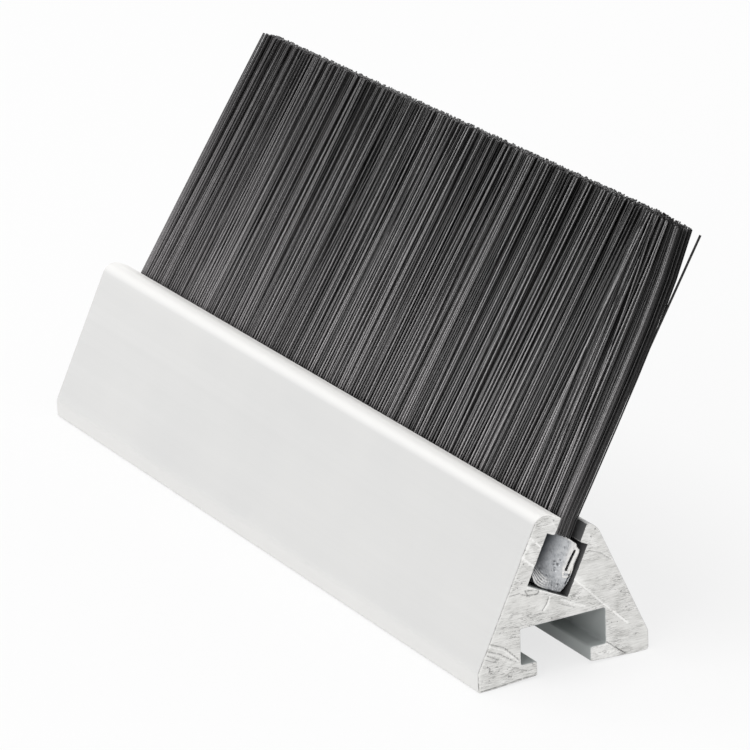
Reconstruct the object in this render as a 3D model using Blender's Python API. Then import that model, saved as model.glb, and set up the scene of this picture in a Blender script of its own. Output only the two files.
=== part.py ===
# Brush seal strip: a short length of extruded aluminium holder with a strip brush in its pocket.
# Runs in Blender 4.5 with: blender --background --python part.py, or from the text editor.
# Metres, +Z up. The strip runs along X, stands on its two feet at Z = 0 and leans its brush to +Y.

import math
import random

import bmesh
import bpy
from mathutils import Vector

mm = 0.001

# Holder, measured on its end
holder_length = 100.0 * mm
base_width = 20.9 * mm
foot_side = 2.2 * mm
foot_land = 1.7 * mm
foot_rise = 0.33 * mm
foot_corner = 0.35 * mm
front_lean = math.radians(25.8)
front_wall = 2.02 * mm

# T-slot in the base, for the heads of M6 bolts
slot_width = 10.35 * mm
slot_neck = 6.5 * mm
slot_lip_top = 1.95 * mm
slot_height = 4.05 * mm
slot_corner = 0.2 * mm

# Pocket for the brush, tilted with the front wall
pocket_web = 2.3 * mm
pocket_width = 5.3 * mm
pocket_depth = 5.85 * mm
pocket_corner = 0.12 * mm
lip_reach = 1.0 * mm
front_lip_height = 1.95 * mm
back_lip_height = 2.2 * mm
back_lip_width = 1.343 * mm
front_lip_round = 1.6 * mm
back_lip_run = 0.87 * mm
lip_edge = 0.3 * mm

# Folded steel channel that grips the filaments, pinched shut at its near end
channel_gap = 0.15 * mm
channel_side_gap = 0.35 * mm
channel_height = 5.5 * mm
channel_sheet = 0.45 * mm
channel_crimp = 0.35 * mm
channel_end_gap = 0.3 * mm
crimp_height = 3.575 * mm
sheet_bend = 0.9 * mm
pinch_length = 4.5 * mm
pinch_slit = 0.17 * mm
pinch_push = 0.42 * mm
pinch_shear = 0.7 * mm
hem_slit = 0.15 * mm
hem_flat = 0.03 * mm

# Core wire that the filaments fold over
wire_diameter = 1.3 * mm
wire_gap = 0.2 * mm
fold_under_wire = 0.6 * mm

# Bristle pack
pack_gap = 0.28 * mm
pack_mouth = 2.1 * mm
pack_tip = 2.5 * mm
pack_lean = math.radians(29.0)
free_length = 32.4 * mm
trim_slant = 0.25 * mm
trim_rise = 0.35 * mm
near_set_back = 0.25 * mm
far_set_back = 3.3 * mm
tip_draw_near = 1.55 * mm
tip_draw_far = 4.35 * mm
spread_ledge = 0.1 * mm
tuft_pitch = 1.2 * mm
tuft_depth = 0.3 * mm
tuft_notch = 0.36 * mm
lip_clearance = 0.12 * mm

# How finely the curves are drawn
round_steps = 5
wire_sides = 20
sheet_points = 73
pinch_steps = 9

# How much the notches between the tufts vary, as shares of their width and depth
notch_range = (0.7, 1.3)
depth_range = (0.6, 1.0)
tuft_seed = 7

# Unit directions in the section, as (Y, Z): up the pocket, and across it
pocket_up = Vector((math.sin(front_lean), math.cos(front_lean)))
pocket_across = Vector((math.cos(front_lean), -math.sin(front_lean)))
pack_up = Vector((math.sin(pack_lean), math.cos(pack_lean)))
pack_across = Vector((math.cos(pack_lean), -math.sin(pack_lean)))

slot_ceiling = slot_lip_top + slot_height

# The pocket's front floor corner stands the wall's thickness inside the front slope
floor_z = slot_ceiling + pocket_web + pocket_width * math.sin(front_lean)
floor_y = (floor_z - foot_side) * math.tan(front_lean) + front_wall / math.cos(front_lean)
pocket_corner_point = Vector((floor_y, floor_z))
pocket_middle = pocket_corner_point + pocket_across * pocket_width / 2

channel_width = pocket_width - 2 * channel_side_gap
channel_top = channel_gap + channel_height

# The sheet's middle line: half its width, its floor, and the slope that rounds each bottom corner
sheet_side = channel_width / 2 - channel_sheet / 2
sheet_floor = channel_sheet / 2
sheet_slant = sheet_side / 2

inner_half = channel_width / 2 - channel_sheet
root_bottom = channel_gap + channel_sheet + pack_gap
root_thickness = 2 * (inner_half - pack_gap)
slope_offset = math.sqrt(2) * (channel_sheet / 2 + pack_gap)
slope_line = sheet_side - sheet_floor - sheet_slant - channel_gap - slope_offset
root_fold = 2 * (root_bottom + slope_line)
root_full = root_thickness / 2 - slope_line
crimp_thickness = 2 * (inner_half - channel_crimp - pack_gap)
wire_height = root_bottom + fold_under_wire + wire_gap + wire_diameter / 2

near_end = holder_length / 2
far_end = -holder_length / 2
pinch_start = near_end - channel_end_gap - pinch_length
root_near = pinch_start - pack_gap


def in_pocket(across, up):
    # A point of the section, from its place across the pocket's middle line and up from the floor
    return pocket_middle + pocket_across * across + pocket_up * up


mouth_height = pocket_depth + front_lip_height
mouth_across = -pocket_width / 2 + lip_reach + lip_clearance + pack_mouth / 2
mouth_point = in_pocket(mouth_across, mouth_height)
tip_point = mouth_point + pack_up * free_length
# The last filament at the back of the near end reaches furthest out
furthest_tip = tip_point + pack_across * pack_tip / 2 + pack_up * (trim_slant + trim_rise / 2)
section_depth = furthest_tip.x
section_shift = -section_depth / 2


def clear_scene():
    for thing in list(bpy.data.objects):
        bpy.data.objects.remove(thing, do_unlink=True)
    for collection in list(bpy.data.collections):
        bpy.data.collections.remove(collection)


def make_collection(name):
    collection = bpy.data.collections.new(name)
    bpy.context.scene.collection.children.link(collection)
    return collection


def make_material(name, colour, roughness, metallic):
    material = bpy.data.materials.new(name)
    material.use_nodes = True
    shader = material.node_tree.nodes["Principled BSDF"]
    shader.inputs["Base Color"].default_value = (*colour, 1.0)
    shader.inputs["Roughness"].default_value = roughness
    shader.inputs["Metallic"].default_value = metallic
    material.diffuse_color = (*colour, 1.0)
    return material


def meet(point, direction, other_point, other_direction):
    # Where two straight lines of the section cross
    cross = direction.x * other_direction.y - direction.y * other_direction.x
    gap = other_point - point
    along = (gap.x * other_direction.y - gap.y * other_direction.x) / cross
    return point + direction * along


def rounded_path(corners, closed, steps=round_steps):
    # Turns corners given as (point, radius) into points, with each round as an arc
    points = []
    count = len(corners)
    for index, (corner, radius) in enumerate(corners):
        if radius == 0 or (not closed and index in (0, count - 1)):
            points.append(corner.copy())
            continue
        back = (corners[index - 1][0] - corner).normalized()
        ahead = (corners[(index + 1) % count][0] - corner).normalized()
        half_angle = back.angle(ahead) / 2
        centre = corner + (back + ahead).normalized() * radius / math.sin(half_angle)
        start = corner + back * radius / math.tan(half_angle) - centre
        end = corner + ahead * radius / math.tan(half_angle) - centre
        sweep = end.angle_signed(start)
        for step in range(steps + 1):
            turn = sweep * step / steps
            points.append(centre + Vector((
                start.x * math.cos(turn) - start.y * math.sin(turn),
                start.x * math.sin(turn) + start.y * math.cos(turn))))
    return points


def round_from_run(corner, neighbour, other_neighbour, run):
    # The radius of a round that starts a given run away from its corner
    half_angle = (neighbour - corner).angle(other_neighbour - corner) / 2
    return run * math.tan(half_angle)


def holder_outline():
    middle = base_width / 2
    front_foot = Vector((0, 0))
    back_foot = Vector((base_width, 0))
    front_shoulder = Vector((0, foot_side))
    back_shoulder = Vector((base_width, foot_side))
    half = pocket_width / 2
    front_lip_inner = in_pocket(-half + lip_reach, pocket_depth + front_lip_height)
    back_lip_inner = in_pocket(half - lip_reach, pocket_depth + back_lip_height)
    front_lip_outer = meet(front_shoulder, pocket_up, front_lip_inner, pocket_across)
    # The back slope runs straight from the shoulder to the lip's outer corner
    back_lip_outer = back_lip_inner + pocket_across * back_lip_width
    back_lip_round = round_from_run(back_lip_outer, back_lip_inner, back_shoulder, back_lip_run)
    return [
        (front_foot, foot_corner),
        (front_shoulder, foot_corner),
        (front_lip_outer, front_lip_round),
        (front_lip_inner, lip_edge),
        (in_pocket(-half + lip_reach, pocket_depth), lip_edge),
        (in_pocket(-half, pocket_depth), 0),
        (in_pocket(-half, 0), pocket_corner),
        (in_pocket(half, 0), pocket_corner),
        (in_pocket(half, pocket_depth), 0),
        (in_pocket(half - lip_reach, pocket_depth), lip_edge),
        (back_lip_inner, lip_edge),
        (back_lip_outer, back_lip_round),
        (back_shoulder, foot_corner),
        (back_foot, foot_corner),
        (Vector((base_width - foot_land, 0)), 0),
        (Vector((middle + slot_neck / 2, foot_rise)), slot_corner),
        (Vector((middle + slot_neck / 2, slot_lip_top)), slot_corner),
        (Vector((middle + slot_width / 2, slot_lip_top)), slot_corner),
        (Vector((middle + slot_width / 2, slot_ceiling)), slot_corner),
        (Vector((middle - slot_width / 2, slot_ceiling)), slot_corner),
        (Vector((middle - slot_width / 2, slot_lip_top)), slot_corner),
        (Vector((middle - slot_neck / 2, slot_lip_top)), slot_corner),
        (Vector((middle - slot_neck / 2, foot_rise)), slot_corner),
        (Vector((foot_land, 0)), 0),
    ]


def add_mesh_object(name, mesh, collection, material):
    thing = bpy.data.objects.new(name, mesh)
    collection.objects.link(thing)
    mesh.materials.clear()
    mesh.materials.append(material)
    return thing


def make_holder(collection, material):
    # The section is a flat curve, filled and extruded along X
    curve = bpy.data.curves.new("holder_section", "CURVE")
    curve.dimensions = "2D"
    curve.fill_mode = "BOTH"
    curve.extrude = holder_length / 2
    outline = rounded_path(holder_outline(), closed=True)
    spline = curve.splines.new("POLY")
    spline.points.add(len(outline) - 1)
    for point, place in zip(spline.points, outline):
        point.co = (place.x, place.y, 0, 1)
    spline.use_cyclic_u = True
    holder = bpy.data.objects.new("holder_extrusion", curve)
    holder.rotation_euler = (math.radians(90), 0, math.radians(90))
    holder.location = (0, section_shift, 0)
    collection.objects.link(holder)
    curve.materials.append(material)
    return holder


def skin_sections(name, sections):
    # Joins rings of the same number of points, each a list of vectors, into one closed mesh
    mesh = bpy.data.meshes.new(name)
    shape = bmesh.new()
    rings = [[shape.verts.new(point) for point in section] for section in sections]
    count = len(rings[0])
    for ring, following in zip(rings, rings[1:]):
        for index in range(count):
            after = (index + 1) % count
            shape.faces.new((ring[index], ring[after], following[after], following[index]))
    shape.faces.new(reversed(rings[0]))
    shape.faces.new(rings[-1])
    bmesh.ops.recalc_face_normals(shape, faces=shape.faces)
    shape.to_mesh(mesh)
    shape.free()
    return mesh


def channel_corners():
    # Middle line of the folded sheet, from the front wall's top edge round to the back wall's
    return [
        (Vector((-sheet_side + channel_crimp, channel_height)), 0),
        (Vector((-sheet_side, crimp_height)), sheet_bend),
        (Vector((-sheet_side, sheet_floor + sheet_slant)), sheet_bend),
        (Vector((-sheet_side + sheet_slant, sheet_floor)), sheet_bend),
        (Vector((sheet_side - sheet_slant, sheet_floor)), sheet_bend),
        (Vector((sheet_side, sheet_floor + sheet_slant)), sheet_bend),
        (Vector((sheet_side, crimp_height)), sheet_bend),
        (Vector((sheet_side - channel_crimp, channel_height)), 0),
    ]


def pinched_corners():
    # The same line where the shears have pressed the front wall over against the back one
    back = sheet_side - pinch_push
    front = back - channel_sheet - pinch_slit
    heel = channel_sheet + hem_slit
    hem = sheet_floor + heel
    hem_bend = (heel - hem_flat) / 2
    return [
        (Vector((front, channel_height)), 0),
        (Vector((front, hem)), heel),
        (Vector((-sheet_side, hem)), hem_bend),
        (Vector((-sheet_side, sheet_floor)), hem_bend),
        (Vector((back - heel, sheet_floor)), heel),
        (Vector((back, sheet_floor + heel)), heel),
        (Vector((back, channel_height - pinch_shear)), 0),
    ]


def even_points(line, count=sheet_points):
    # The same path with its points spaced evenly, so that two bends of one sheet match point for point
    lengths = [0.0]
    for before, after in zip(line, line[1:]):
        lengths.append(lengths[-1] + (after - before).length)
    points = []
    leg = 0
    for index in range(count):
        target = lengths[-1] * index / (count - 1)
        while leg < len(line) - 2 and lengths[leg + 1] < target:
            leg += 1
        share = (target - lengths[leg]) / (lengths[leg + 1] - lengths[leg])
        points.append(line[leg].lerp(line[leg + 1], share))
    return points


def headings(line):
    # Which way each step of a path points, as angles that don't jump at half a turn
    first = line[1] - line[0]
    angles = [math.atan2(first.y, first.x)]
    for before, point, after in zip(line, line[1:], line[2:]):
        angles.append(angles[-1] + (after - point).angle_signed(point - before))
    return angles


def box_of(line):
    across = [point.x for point in line]
    up = [point.y for point in line]
    return Vector((min(across), min(up))), Vector((max(across), max(up)))


def part_bent(start_line, end_line, share):
    # The sheet part-way from one fold to another: each short step turns by a share of its full bend
    line = [Vector((0, 0))]
    steps = zip(headings(start_line), headings(end_line), start_line, start_line[1:], end_line, end_line[1:])
    for start_angle, end_angle, a, b, c, d in steps:
        angle = start_angle + (end_angle - start_angle) * share
        length = (b - a).length * (1 - share) + (d - c).length * share
        line.append(line[-1] + Vector((math.cos(angle), math.sin(angle))) * length)
    # The fold is stretched to the same share between the two boxes, so that it fits the pocket throughout
    low, high = box_of(line)
    start_low, start_high = box_of(start_line)
    end_low, end_high = box_of(end_line)
    new_low = start_low.lerp(end_low, share)
    new_size = start_high.lerp(end_high, share) - new_low
    size = high - low
    return [Vector((new_low.x + (point.x - low.x) * new_size.x / size.x,
                    new_low.y + (point.y - low.y) * new_size.y / size.y)) for point in line]


def sheet_ring(line, x):
    # The closed outline of a sheet of even thickness along the line, at one place along X
    outer = []
    inner = []
    for index, point in enumerate(line):
        before = line[max(index - 1, 0)]
        after = line[min(index + 1, len(line) - 1)]
        along = (after - before).normalized()
        side = Vector((along.y, -along.x)) * channel_sheet / 2
        outer.append(point + side)
        inner.append(point - side)
    ring = []
    for across, up in outer + inner[::-1]:
        place = in_pocket(across, up + channel_gap)
        ring.append(Vector((x, place.x + section_shift, place.y)))
    return ring


def make_channel(collection, material):
    open_line = even_points(rounded_path(channel_corners(), closed=False))
    shut_line = even_points(rounded_path(pinched_corners(), closed=False))
    sections = [sheet_ring(open_line, far_end + channel_end_gap)]
    for step in range(pinch_steps + 1):
        share = step / pinch_steps
        ease = share * share * (3 - 2 * share)
        line = part_bent(open_line, shut_line, ease)
        sections.append(sheet_ring(line, pinch_start + pinch_length * share))
    mesh = skin_sections("brush_channel", sections)
    return add_mesh_object("brush_channel", mesh, collection, material)


def wire_place():
    place = in_pocket(0, wire_height)
    return Vector((0, place.x + section_shift, place.y))


def wire_ends():
    return far_end + far_set_back - pack_gap, root_near


def add_rod(name, radius, start, end):
    # A cylinder along X, on the line where the filaments fold
    mesh = bpy.data.meshes.new(name)
    shape = bmesh.new()
    bmesh.ops.create_cone(shape, cap_ends=True, segments=wire_sides, radius1=radius, radius2=radius,
                          depth=end - start)
    shape.to_mesh(mesh)
    shape.free()
    rod = bpy.data.objects.new(name, mesh)
    rod.rotation_euler = (0, math.radians(90), 0)
    rod.location = wire_place() + Vector(((start + end) / 2, 0, 0))
    return rod


def make_wire(collection, material):
    start, end = wire_ends()
    wire = add_rod("core_wire", wire_diameter / 2, start, end)
    wire.data.materials.append(material)
    collection.objects.link(wire)
    return wire


def tuft_ring(centre, across, thickness, start, end, depth, slant=0, rise=0):
    # One level of the pack: both faces cut by notches that part the filaments into tufts
    # Slant is how much longer its back edge stands than its middle, and rise how much its near end does
    count = max(2, round((holder_length - near_set_back - far_set_back) / tuft_pitch))
    chooser = random.Random(tuft_seed)
    pitch = (end - start) / count
    front = []
    back = []
    for index in range(count):
        left = start + pitch * index
        notch = min(tuft_notch, pitch / 2) * chooser.uniform(*notch_range)
        cut = depth * chooser.uniform(*depth_range)
        for face, side in ((front, -1), (back, 1)):
            rim = side * thickness / 2
            valley = side * (thickness / 2 - cut)
            face.append((left, rim))
            face.append((left + pitch - notch, rim))
            face.append((left + pitch - notch / 2, valley))
    for face, side in ((front, -1), (back, 1)):
        face[-1] = (end, side * thickness / 2)
    up = Vector((-across.y, across.x))
    ring = []
    for x, offset in front + back[::-1]:
        lift = slant * offset / (thickness / 2) + rise * ((x - start) / (end - start) - 0.5)
        place = centre + across * offset + up * lift
        ring.append(Vector((x, place.x + section_shift, place.y)))
    return ring


def make_bristles(collection, cutters, material):
    base_start = far_end + far_set_back
    neck = channel_top + channel_gap
    levels = [
        (in_pocket(0, root_bottom), pocket_across, root_fold, base_start, root_near, 0),
        (in_pocket(0, root_full), pocket_across, root_thickness, base_start, root_near, 0),
        (in_pocket(0, crimp_height), pocket_across, root_thickness, base_start, root_near, 0),
        (in_pocket(0, neck), pocket_across, crimp_thickness, base_start, root_near, tuft_depth / 2),
        (in_pocket(0, neck + spread_ledge), pocket_across, crimp_thickness, base_start,
         near_end - near_set_back, tuft_depth / 2),
        (mouth_point, pack_across, pack_mouth, base_start, near_end - near_set_back, tuft_depth),
        (tip_point, pack_across, pack_tip, base_start + tip_draw_far,
         near_end - near_set_back - tip_draw_near, tuft_depth, trim_slant, trim_rise),
    ]
    mesh = skin_sections("bristles", [tuft_ring(*level) for level in levels])
    bristles = add_mesh_object("bristles", mesh, collection, material)
    start, end = wire_ends()
    tunnel = add_rod("wire_tunnel", wire_diameter / 2 + wire_gap, start - pack_gap, end + pack_gap)
    tunnel.display_type = "WIRE"
    tunnel.hide_render = True
    cutters.objects.link(tunnel)
    cut = bristles.modifiers.new("wire tunnel", "BOOLEAN")
    cut.operation = "DIFFERENCE"
    cut.solver = "EXACT"
    cut.object = tunnel
    return bristles


def main():
    clear_scene()
    parts = make_collection("brush_seal_strip")
    cutters = make_collection("cutters")
    aluminium = make_material("satin_aluminium", (0.72, 0.72, 0.71), 0.45, 1.0)
    zinc = make_material("galvanised_steel", (0.52, 0.54, 0.56), 0.4, 1.0)
    steel = make_material("steel_wire", (0.45, 0.45, 0.44), 0.35, 1.0)
    nylon = make_material("black_nylon", (0.02, 0.02, 0.022), 0.5, 0.0)
    make_holder(parts, aluminium)
    make_channel(parts, zinc)
    make_wire(parts, steel)
    make_bristles(parts, cutters, nylon)


main()
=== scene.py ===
import math
import random

import bmesh
import bpy
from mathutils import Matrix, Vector, noise
from mathutils.geometry import delaunay_2d_cdt


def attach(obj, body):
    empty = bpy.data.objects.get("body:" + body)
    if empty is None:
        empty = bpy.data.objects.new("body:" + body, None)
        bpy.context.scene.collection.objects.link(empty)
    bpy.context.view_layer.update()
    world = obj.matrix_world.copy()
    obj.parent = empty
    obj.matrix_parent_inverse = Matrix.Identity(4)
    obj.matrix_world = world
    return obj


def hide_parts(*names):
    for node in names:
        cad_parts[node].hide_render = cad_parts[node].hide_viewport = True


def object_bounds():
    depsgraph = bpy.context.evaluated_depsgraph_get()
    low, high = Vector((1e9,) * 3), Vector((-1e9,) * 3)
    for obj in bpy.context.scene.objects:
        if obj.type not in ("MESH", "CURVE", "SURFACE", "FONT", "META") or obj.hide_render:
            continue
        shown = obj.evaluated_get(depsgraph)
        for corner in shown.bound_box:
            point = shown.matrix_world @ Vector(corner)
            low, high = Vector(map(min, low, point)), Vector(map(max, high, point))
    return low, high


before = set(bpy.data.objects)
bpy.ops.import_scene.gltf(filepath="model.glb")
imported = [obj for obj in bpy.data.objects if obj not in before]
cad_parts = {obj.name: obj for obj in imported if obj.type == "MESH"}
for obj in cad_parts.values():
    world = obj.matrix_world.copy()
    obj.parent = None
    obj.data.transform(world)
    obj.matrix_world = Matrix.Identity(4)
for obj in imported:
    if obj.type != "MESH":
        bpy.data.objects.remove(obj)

mm = 0.001
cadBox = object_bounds()
print("frame loaded:", sorted(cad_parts))


# small helpers

def firstSocket(sockets, name):
    # the enabled socket of that name, because some nodes hide several with one name
    return next(s for s in sockets if s.name == name and s.enabled)


def give(tree, socket, value):
    # a node's output is linked, and anything else is set
    if isinstance(value, bpy.types.NodeSocket):
        tree.links.new(value, socket)
    else:
        socket.default_value = value


def addNode(tree, kind, settings=None, **inputs):
    made = tree.nodes.new(kind)
    for key, value in (settings or {}).items():
        setattr(made, key, value)
    for key, value in inputs.items():
        give(tree, firstSocket(made.inputs, key.replace("_", " ")), value)
    return made


def maths(tree, operation, *values):
    made = addNode(tree, "ShaderNodeMath", {"operation": operation})
    for socket, value in zip(made.inputs, values):
        give(tree, socket, value)
    return made.outputs[0]


def vectorMaths(tree, operation, *values):
    made = addNode(tree, "ShaderNodeVectorMath", {"operation": operation})
    for socket, value in zip(made.inputs, values):
        give(tree, socket, value)
    return made.outputs["Value" if operation == "DOT_PRODUCT" else "Vector"]


def scaled(tree, vector, amount):
    made = addNode(tree, "ShaderNodeVectorMath", {"operation": "SCALE"}, Scale=amount)
    give(tree, made.inputs[0], vector)
    return made.outputs["Vector"]


def mapRange(tree, value, low, high, newLow, newHigh, smooth=False):
    made = addNode(tree, "ShaderNodeMapRange", {"interpolation_type": "SMOOTHSTEP" if smooth else "LINEAR"},
                   Value=value, From_Min=low, From_Max=high, To_Min=newLow, To_Max=newHigh)
    return made.outputs[0]


def linkNewObject(name, mesh, material=None):
    thing = bpy.data.objects.new(name, mesh)
    bpy.context.scene.collection.objects.link(thing)
    if material:
        mesh.materials.append(material)
    return thing


def smoothStep(value, low, high):
    share = min(1, max(0, (value - low) / (high - low)))
    return share * share * (3 - 2 * share)


def distanceToLine(point, line):
    best = 99
    for a, b in zip(line, line[1:]):
        a = Vector(a)
        b = Vector(b)
        share = min(1, max(0, (point - a).dot(b - a) / max(1e-12, (b - a).length_squared)))
        best = min(best, (point - a.lerp(b, share)).length)
    return best


# camera, at the photo's angle

camera = {
    "place": (0.441174, -0.238609, 0.198845),
    "turn": (70.074, 2.0865, 60.61),      # degrees
    "lens": 228.0,
}

cameraData = bpy.data.cameras.new("camera")
cameraData.lens = camera["lens"]
cameraData.sensor_width = 36
cameraData.clip_start = 0.01
cameraData.clip_end = 20
cameraObject = bpy.data.objects.new("camera", cameraData)
cameraObject.location = camera["place"]
cameraObject.rotation_euler = [math.radians(angle) for angle in camera["turn"]]
bpy.context.scene.collection.objects.link(cameraObject)
bpy.context.scene.camera = cameraObject
print("camera placed")


# the holder's section, in millimetres and degrees: Y from its front foot, Z up

section = {
    "length": 100.0,
    "baseWidth": 20.9,
    "footSide": 2.2,
    "footLand": 1.7,
    "footRise": 0.33,
    "footCorner": 0.35,
    "shoulderRound": 1.5,
    "lean": 25.8,
    "frontWall": 2.02,
    "slotWidth": 10.35,
    "slotNeck": 6.5,
    "slotLipTop": 1.95,
    "slotHeight": 4.05,
    "slotCorner": 0.2,
    "web": 2.3,
    "pocketWidth": 5.3,
    "pocketDepth": 5.85,
    "pocketCorner": 0.12,
    "lipReach": 1.0,
    "frontLipHeight": 1.95,
    "backLipHeight": 2.2,
    "backLipWidth": 1.343,
    "frontLipRound": 1.6,
    "backLipRun": 0.87,
    "lipEdge": 0.3,
    "lipCorner": 0.16,
    "shiftY": -14.331631,                 # from the front foot to the frame's middle
}

leanAngle = math.radians(section["lean"])
pocketUp = Vector((math.sin(leanAngle), math.cos(leanAngle)))
pocketAcross = Vector((math.cos(leanAngle), -math.sin(leanAngle)))
floorZ = section["slotLipTop"] + section["slotHeight"] + section["web"] + section["pocketWidth"] * pocketUp.x
floorY = (floorZ - section["footSide"]) * math.tan(leanAngle) + section["frontWall"] / math.cos(leanAngle)
pocketMiddle = Vector((floorY, floorZ)) + pocketAcross * section["pocketWidth"] / 2


def inPocket(across, up):
    return pocketMiddle + pocketAcross * across + pocketUp * up


def inFrame(x, point):
    # from the section's millimetres to the frame's metres
    return Vector((x, (point.x + section["shiftY"]) * mm, point.y * mm))


def roundedPath(corners, closed=True, chord=0.09):
    # corners are (point, radius) in millimetres, and each round becomes an arc of short chords
    points = []
    count = len(corners)
    for index, (corner, radius) in enumerate(corners):
        if radius == 0 or (not closed and index in (0, count - 1)):
            points.append(corner.copy())
            continue
        back = (corners[index - 1][0] - corner).normalized()
        ahead = (corners[(index + 1) % count][0] - corner).normalized()
        half = back.angle(ahead) / 2
        centre = corner + (back + ahead).normalized() * radius / math.sin(half)
        start = corner + back * radius / math.tan(half) - centre
        end = corner + ahead * radius / math.tan(half) - centre
        sweep = end.angle_signed(start)
        steps = max(4, math.ceil(abs(sweep) * radius / chord))
        for step in range(steps + 1):
            turn = sweep * step / steps
            points.append(centre + Vector((
                start.x * math.cos(turn) - start.y * math.sin(turn),
                start.x * math.sin(turn) + start.y * math.cos(turn))))
    return points


def splitLong(points, longest, closed=True):
    # adds points along straight stretches
    result = []
    pairs = list(zip(points, points[1:] + points[:1])) if closed else list(zip(points, points[1:]))
    for a, b in pairs:
        parts = max(1, math.ceil((b - a).length / longest))
        result += [a.lerp(b, part / parts) for part in range(parts)]
    if not closed:
        result.append(points[-1])
    return result


def holderCorners():
    s = section
    middle = s["baseWidth"] / 2
    half = s["pocketWidth"] / 2
    ceiling = s["slotLipTop"] + s["slotHeight"]
    frontShoulder = Vector((0, s["footSide"]))
    backShoulder = Vector((s["baseWidth"], s["footSide"]))
    frontInner = inPocket(-half + s["lipReach"], s["pocketDepth"] + s["frontLipHeight"])
    backInner = inPocket(half - s["lipReach"], s["pocketDepth"] + s["backLipHeight"])
    backOuter = backInner + pocketAcross * s["backLipWidth"]
    # the front slope runs along the pocket, so its lip corner is straight across from the inner one
    reach = (frontInner - frontShoulder).dot(pocketAcross)
    frontOuter = frontInner - pocketAcross * reach
    halfAngle = (backInner - backOuter).angle(backShoulder - backOuter) / 2
    backRound = s["backLipRun"] * math.tan(halfAngle)
    return [
        (Vector((0, 0)), s["footCorner"]),
        (frontShoulder, s["shoulderRound"]),
        (frontOuter, s["frontLipRound"]),
        (frontInner, s["lipCorner"]),
        (inPocket(-half + s["lipReach"], s["pocketDepth"]), s["lipEdge"]),
        (inPocket(-half, s["pocketDepth"]), 0),
        (inPocket(-half, 0), s["pocketCorner"]),
        (inPocket(half, 0), s["pocketCorner"]),
        (inPocket(half, s["pocketDepth"]), 0),
        (inPocket(half - s["lipReach"], s["pocketDepth"]), s["lipEdge"]),
        (backInner, s["lipEdge"]),
        (backOuter, backRound),
        (backShoulder, s["footCorner"]),
        (Vector((s["baseWidth"], 0)), s["footCorner"]),
        (Vector((s["baseWidth"] - s["footLand"], 0)), 0),
        (Vector((middle + s["slotNeck"] / 2, s["footRise"])), s["slotCorner"]),
        (Vector((middle + s["slotNeck"] / 2, s["slotLipTop"])), s["slotCorner"]),
        (Vector((middle + s["slotWidth"] / 2, s["slotLipTop"])), s["slotCorner"]),
        (Vector((middle + s["slotWidth"] / 2, ceiling)), s["slotCorner"]),
        (Vector((middle - s["slotWidth"] / 2, ceiling)), s["slotCorner"]),
        (Vector((middle - s["slotWidth"] / 2, s["slotLipTop"])), s["slotCorner"]),
        (Vector((middle - s["slotNeck"] / 2, s["slotLipTop"])), s["slotCorner"]),
        (Vector((middle - s["slotNeck"] / 2, s["footRise"])), s["slotCorner"]),
        (Vector((s["footLand"], 0)), 0),
    ]


# aluminium holder, with its sawn ends

holder = {
    "edge": 0.05,             # mm, the small bevel that the saw leaves
    "rimSpacing": 0.14,       # mm, along the outline at the near end
    "sawnSpacing": (0.13, 0.065),  # mm, over the near sawn face, along and across its streaks
    "farSpacing": (0.7, 0.5),      # mm, over the far one
    "streakDepth": 0.02,      # mm
    "streakTilt": -5.0,       # degrees in the section
    "streakLength": 1.7,      # mm
    "streakWidth": 0.2,       # mm
    "lipPaintedHighlight": 0.6,         # painted highlight where the front lip rises, and 1 where it falls to the mouth
    "footPaintedHighlight": 0.36,       # painted highlight low on the front foot
    "sharpAngle": 25,         # degrees, past which an edge stays sharp
    "pocketPaintedShade": 1.0,       # painted shade inside the pocket, the mouth and the T-slot: 0 is as the outside
    "pocketFrontPaintedShade": 0.85,
    "pocketLowPaintedShade": 0.5,
    "mouthPaintedShade": 0.96,
    "slotPaintedShade": 0.35,
    "seed": 11,
}
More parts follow.
